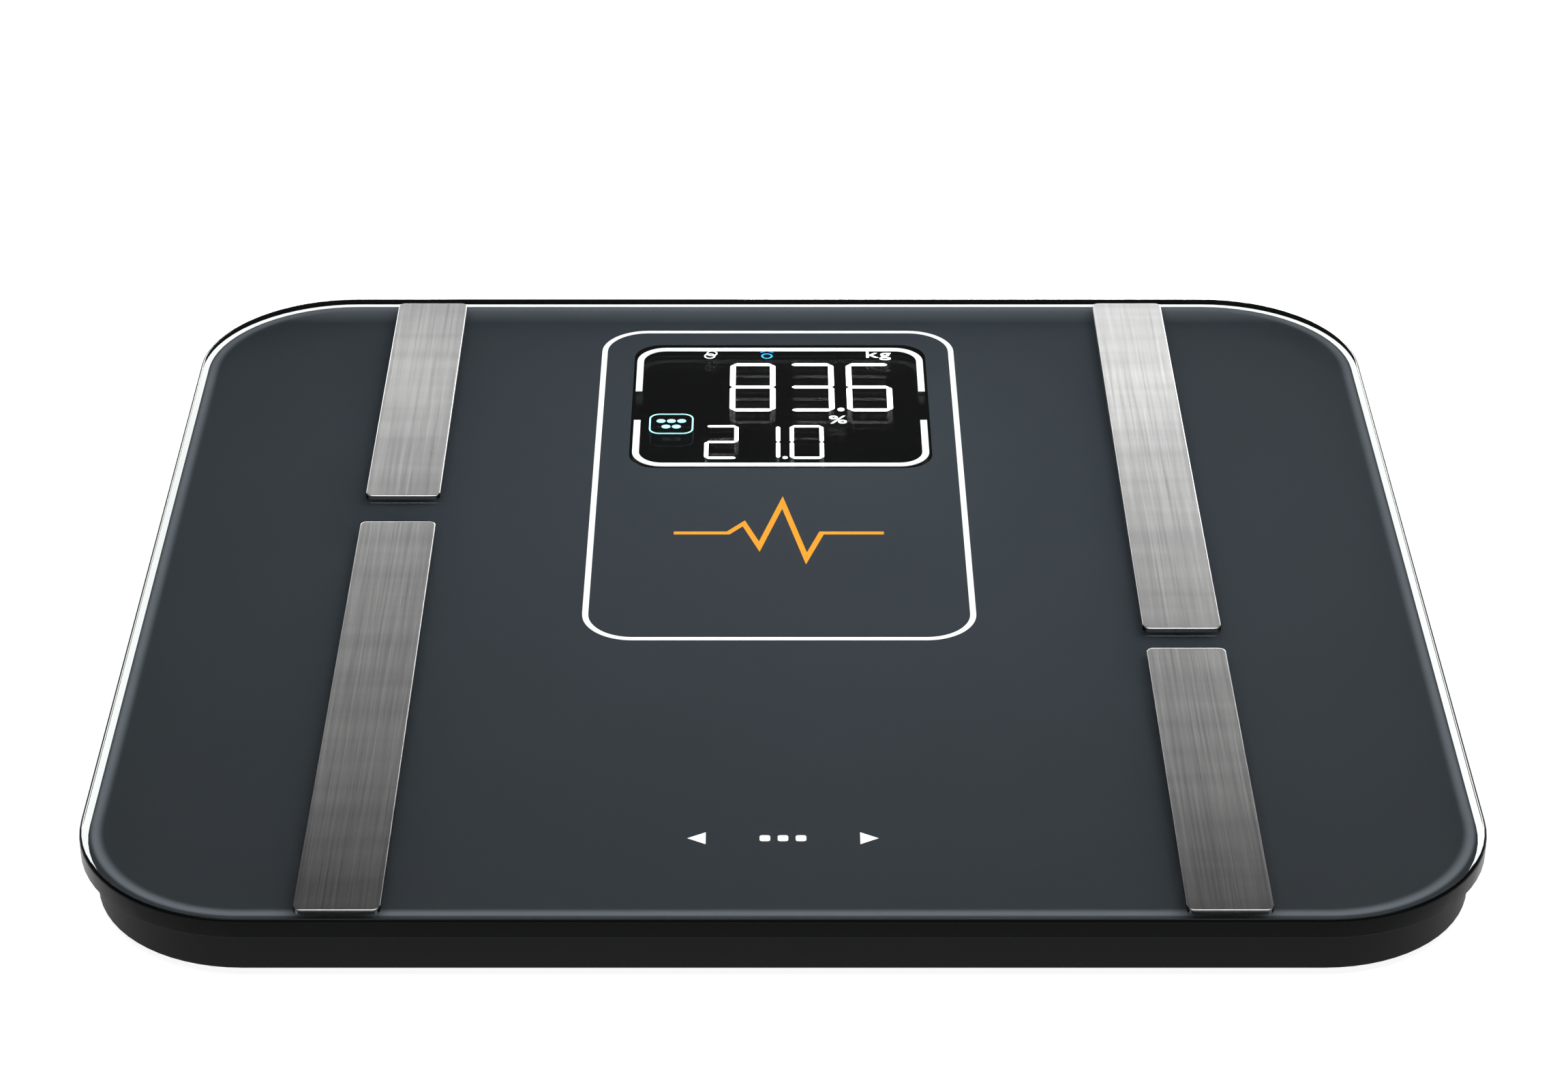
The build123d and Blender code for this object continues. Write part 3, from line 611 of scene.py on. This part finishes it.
def select_faces(piece, wanted):
    """Goes into edit mode with just the faces that a test accepts selected."""
    select_only(piece)
    bpy.ops.object.mode_set(mode="EDIT")
    bpy.ops.mesh.select_mode(type="FACE")
    bpy.ops.mesh.select_all(action="DESELECT")
    bpy.ops.object.mode_set(mode="OBJECT")
    for face in piece.data.polygons:
        face.select = wanted(face)
    bpy.ops.object.mode_set(mode="EDIT")


def merged_copy(node_name, name):
    """A copy of a frame piece with its loose triangles merged."""
    piece = bpy.data.objects.new(name, nodes[node_name].data.copy())
    piece.data.name = name
    bpy.context.scene.collection.objects.link(piece)
    select_only(piece)
    bpy.ops.object.mode_set(mode="EDIT")
    bpy.ops.mesh.select_all(action="SELECT")
    bpy.ops.mesh.remove_doubles(threshold=merge_distance)
    bpy.ops.object.mode_set(mode="OBJECT")
    return piece


# %% Raise the prints
contact = 0.02 * mm


def wetted_print(node_name, name, ink):
    """A merged copy of a print whose upper face reaches a hair into the glass."""
    piece = merged_copy(node_name, name)
    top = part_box(node_name)[1].z
    select_faces(piece, lambda face: abs(face.center.z - top) < contact / 4)
    bpy.ops.transform.translate(value=(0, 0, contact))
    bpy.ops.object.mode_set(mode="OBJECT")
    piece.data.materials.clear()
    piece.data.materials.append(ink)
    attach(piece, "scale_body")
    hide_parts(node_name)
    print(name, "has", len(piece.data.polygons), "faces")
    return piece


wetted_print("back_print", "slate_print", slate_ink)
wetted_print("white_print", "white_lines", white_ink)
wetted_print("orange_print", "orange_pulse", orange_ink)

# %% [markdown]
# ## The ground edge
# The edge of the sheet is ground flat and polished. Light that goes in there travels a long way
# through the glass, and little comes back, so the edge looks almost black. That darkness is painted
# shade: the edge gets an opaque dark finish, on a copy of the sheet whose flat faces stay clear. The
# outlines of the flat faces are marked sharp, so that the smooth shading of the rounded edge doesn't
# tilt the mirror image in them.

# %% Sheet with its edge
# painted shade: an opaque dark finish in place of the dark look of light lost in the glass edge
painted_dark_edge = moulded("painted_dark_glass_edge", "080909", "060707", 0.3, 0.28, shine=0.06)
level = 0.9999  # a face whose normal is at least this upright is flat
sloping = 0.97  # and one below this belongs to the edge
full_weight = 100

sheet_of_glass = merged_copy("glass_platform", "glass_sheet")
bpy.ops.object.shade_smooth()
select_faces(sheet_of_glass, lambda face: abs(face.normal.z) > level)
bpy.ops.mesh.region_to_loop()
bpy.ops.mesh.mark_sharp()
bpy.ops.object.mode_set(mode="OBJECT")
even_shine = sheet_of_glass.modifiers.new("even_shine", "WEIGHTED_NORMAL")
even_shine.mode = "FACE_AREA"
even_shine.weight = full_weight
even_shine.keep_sharp = True
bpy.ops.object.modifier_apply(modifier=even_shine.name)
sheet_of_glass.data.materials.clear()
sheet_of_glass.data.materials.append(tempered_glass)
sheet_of_glass.data.materials.append(painted_dark_edge)
select_faces(sheet_of_glass, lambda face: abs(face.normal.z) < sloping)
sheet_of_glass.active_material_index = 1
bpy.ops.object.material_slot_assign()
bpy.ops.object.mode_set(mode="OBJECT")
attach(sheet_of_glass, "scale_body")
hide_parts("glass_platform")
edge_faces = sum(face.material_index == 1 for face in sheet_of_glass.data.polygons)
print("glass sheet has", edge_faces, "edge faces of", len(sheet_of_glass.data.polygons))

# %% [markdown]
# ## The lit readout
# A display like this shows its figures as bars with pointed ends. They could be a pattern in the
# panel's finish, but real pieces stay sharp at any distance. One bar is modelled and copied to each
# lit place, and the copies are joined. They lie on the display panel, under the window.

# %% One bar of a figure
panel_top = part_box("display_panel")[1].z
ink_height = 0.08 * mm
end_point = 0.25  # the width of a bar's end, as a share of the bar's width
facing = 0.9  # a face whose normal points at least this much along X is the bar's end


def make_bar(name, length, width):
    """A flat bar along X with pointed ends, at the origin."""
    bpy.ops.object.select_all(action="DESELECT")
    bpy.ops.mesh.primitive_cube_add(size=1)
    bar = bpy.context.object
    bar.name = name
    body_length = length - width
    bpy.ops.object.mode_set(mode="EDIT")
    bpy.ops.transform.resize(value=(body_length, width, ink_height))
    bpy.ops.object.mode_set(mode="OBJECT")
    # Edges and corners are still selected from the steps before, so each extrude also folds some faces
    # into the bar. They don't show in its outline. select_faces() before each extrude would avoid them.
    for end in (-1, 1):
        for face in bar.data.polygons:
            face.select = face.normal.x * end > facing
        bpy.ops.object.mode_set(mode="EDIT")
        bpy.ops.mesh.select_mode(type="FACE")
        bpy.ops.object.mode_set(mode="OBJECT")
        for face in bar.data.polygons:
            face.select = face.normal.x * end > facing
        bpy.ops.object.mode_set(mode="EDIT")
        bpy.ops.mesh.extrude_region_move(TRANSFORM_OT_translate={"value": (end * width / 2, 0, 0)})
        bpy.ops.transform.resize(value=(1, end_point, 1))
        bpy.ops.object.mode_set(mode="OBJECT")
    return bar


def place_copy(source, x, y, turned):
    """A copy of a piece, with its own mesh, set down at a place on the panel."""
    copy = source.copy()
    copy.data = source.data.copy()
    bpy.context.scene.collection.objects.link(copy)
    copy.location = (x, y, panel_top + ink_height / 2)
    copy.rotation_euler = (0, 0, pi / 2 if turned else 0)
    return copy


def join(pieces, name):
    """Joins pieces into one, with its place in its mesh."""
    bpy.ops.object.select_all(action="DESELECT")
    for piece in pieces:
        piece.select_set(True)
    bpy.context.view_layer.objects.active = pieces[0]
    if len(pieces) > 1:
        bpy.ops.object.join()
    bpy.ops.object.transform_apply(location=True, rotation=True, scale=True)
    piece = bpy.context.object
    piece.name = name
    piece.data.name = name
    return piece


# %% Figures from bars
# bars are named a to g: top, upper right, lower right, bottom, lower left, upper left, middle
lit_bars = {"8": "abcdefg", "3": "abcdg", "6": "acdefg", "2": "abdeg", "1": "ef", "0": "abcdef"}
# how much shorter than its place a bar is, in bar widths
flat_gap = 1.3
upright_gap = 0.3


def make_figures(figures, bottom, width, height, bar_width):
    """Copies bars to the lit places of each (figure, left edge) pair."""
    flat = make_bar("flat_bar", width - flat_gap * bar_width, bar_width)
    upright = make_bar("upright_bar", (height - bar_width) / 2 - upright_gap * bar_width, bar_width)
    inner_width = width - bar_width
    inner_height = height - bar_width
    low = bottom + bar_width / 2
    copies = []
    for figure, left in figures:
        x = left + bar_width / 2
        places = {
            "a": (flat, x + inner_width / 2, low + inner_height, False),
            "b": (upright, x + inner_width, low + 0.75 * inner_height, True),
            "c": (upright, x + inner_width, low + 0.25 * inner_height, True),
            "d": (flat, x + inner_width / 2, low, False),
            "e": (upright, x, low + 0.25 * inner_height, True),
            "f": (upright, x, low + 0.75 * inner_height, True),
            "g": (flat, x + inner_width / 2, low + inner_height / 2, False),
        }
        copies += [place_copy(*places[bar]) for bar in lit_bars[figure]]
    for bar in (flat, upright):
        bpy.data.objects.remove(bar)
    return copies


weight = make_figures(
    [("8", -13.8 * mm), ("3", 2.3 * mm), ("6", 18.2 * mm)],
    bottom=89.6 * mm, width=12.5 * mm, height=28.2 * mm, bar_width=1.5 * mm)
fat_share = make_figures(
    [("2", -20.4 * mm), ("1", -1.2 * mm), ("0", 2.5 * mm)],
    bottom=62.7 * mm, width=9.1 * mm, height=18.8 * mm, bar_width=1.1 * mm)


# %% Decimal points
def make_dot(x, y, radius):
    """A flat round dot on the panel."""
    bpy.ops.object.select_all(action="DESELECT")
    place = (x, y, panel_top + ink_height / 2)
    bpy.ops.mesh.primitive_cylinder_add(vertices=32, radius=radius, depth=ink_height, location=place)
    return bpy.context.object


points = [
    make_dot(16.5 * mm, 90.6 * mm, radius=0.95 * mm),
    make_dot(1.2 * mm, 63.4 * mm, radius=0.7 * mm),
]
readout = join(weight + fat_share + points, "readout_figures")
readout.data.materials.append(lit_ink("white_lit_segment", "FFFFFF", 1.0))
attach(readout, "scale_body")
print("readout faces", len(readout.data.polygons))

# %% [markdown]
# ## Units and symbols on the display
# The unit signs are set as text, made bolder by an offset, and turned to mesh. Beside them are three
# plain symbols: two linked rings, a ring under a small roof, and five oval cells in a rounded frame.
# They could be drawn as curves, but rings, dots and the bar above already give their shapes.

# %% Unit signs
sign_size = 6.2 * mm
sign_boldness = 1 / 140
letter_spacing = 1.15


def make_sign(text, size, left, bottom, widen):
    """A unit sign with its lower left corner at a place on the panel."""
    bpy.ops.object.select_all(action="DESELECT")
    bpy.ops.object.text_add(location=(0, 0, 0))
    sign = bpy.context.object
    sign.data.body = text
    sign.data.size = size
    sign.data.offset = size * sign_boldness
    sign.data.space_character = letter_spacing
    sign.data.extrude = ink_height / 2
    bpy.ops.object.convert(target="MESH")
    sign = bpy.context.object
    low = [min(corner[axis] for corner in sign.bound_box) for axis in (0, 1)]
    sign.location = (left - low[0] * widen, bottom - low[1], panel_top + ink_height / 2)
    sign.scale = (widen, 1, 1)
    return sign


signs = [
    make_sign("kg", sign_size, left=24.0 * mm, bottom=119.9 * mm, widen=1.2),
    make_sign("%", sign_size, left=13.2 * mm, bottom=82.6 * mm, widen=1.2),
]
unit_signs = join(signs, "unit_signs")
unit_signs.data.materials.append(readout.data.materials[0])
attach(unit_signs, "scale_body")
print("unit signs faces", len(unit_signs.data.polygons))


# %% Linked rings and roofed ring
symbol_line = 0.45 * mm
body_line = 0.5 * mm
roof_slope = radians(28)


def make_ring(x, y, radius, line):
    """A flat ring on the panel."""
    bpy.ops.object.select_all(action="DESELECT")
    place = (x, y, panel_top + ink_height / 2)
    bpy.ops.mesh.primitive_torus_add(
        major_segments=32, minor_segments=8, major_radius=radius, minor_radius=line / 2, location=place)
    ring = bpy.context.object
    ring.scale.z = ink_height / line
    return ring


def make_slanted_bar(x, y, length, width, angle):
    """A bar turned by an angle, set down on the panel."""
    bar = make_bar("slanted_bar", length, width)
    bar.location = (x, y, panel_top + ink_height / 2)
    bar.rotation_euler = (0, 0, angle)
    return bar


link_symbol = join([
    make_ring(-19.6 * mm, 122.3 * mm, radius=1.35 * mm, line=symbol_line),
    make_ring(-19.0 * mm, 123.9 * mm, radius=1.35 * mm, line=symbol_line),
], "link_symbol")
link_symbol.data.materials.append(readout.data.materials[0])

body_symbol = join([
    make_ring(-3.65 * mm, 122.3 * mm, radius=1.35 * mm, line=body_line),
    make_slanted_bar(-4.55 * mm, 125.0 * mm, length=2.1 * mm, width=body_line, angle=roof_slope),
    make_slanted_bar(-2.75 * mm, 125.0 * mm, length=2.1 * mm, width=body_line, angle=-roof_slope),
], "body_symbol")
body_symbol.data.materials.append(lit_ink("blue_lit_segment", "32A0D7", 1.0))


# %% Cells in a frame
cell_radius = 1.0 * mm
cell_stretch = 1.2
cell_spacing = 2.8 * mm
frame_middle = (-29.5 * mm, 82.4 * mm)
frame_size = (12 * mm, 11.4 * mm)
frame_corner = 2.8 * mm
upper_row, lower_row = 84.0 * mm, 80.8 * mm


def make_cell(x, y):
    """A flat oval cell on the panel."""
    cell = make_dot(x, y, cell_radius)
    cell.scale = (cell_stretch, 1, 1)
    return cell


bpy.ops.object.select_all(action="DESELECT")
bpy.ops.mesh.primitive_plane_add(size=1, location=(*frame_middle, panel_top))
cell_frame = bpy.context.object
cell_frame.scale = (*frame_size, 1)
bpy.ops.object.transform_apply(location=False, rotation=False, scale=True)
bpy.ops.object.mode_set(mode="EDIT")
bpy.ops.mesh.select_all(action="SELECT")
bpy.ops.mesh.bevel(offset=frame_corner, segments=6, affect="VERTICES")
bpy.ops.mesh.inset(thickness=symbol_line)
bpy.ops.mesh.delete(type="FACE")
bpy.ops.mesh.select_all(action="SELECT")
bpy.ops.mesh.extrude_region_move(TRANSFORM_OT_translate={"value": (0, 0, ink_height)})
bpy.ops.mesh.select_all(action="SELECT")
bpy.ops.mesh.normals_make_consistent(inside=False)
bpy.ops.object.mode_set(mode="OBJECT")

upper_cells = [make_cell(frame_middle[0] + i * cell_spacing, upper_row) for i in (-1, 0, 1)]
lower_cells = [make_cell(frame_middle[0] + i * cell_spacing, lower_row) for i in (-0.5, 0.5)]
cells = upper_cells + lower_cells
cell_symbol = join([cell_frame, *cells], "cell_symbol")
cell_symbol.data.materials.append(lit_ink("pale_blue_lit_segment", "96D7E1", 1.0))
for symbol in (link_symbol, body_symbol, cell_symbol):
    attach(symbol, "scale_body")
    print(symbol.name, "faces", len(symbol.data.polygons))
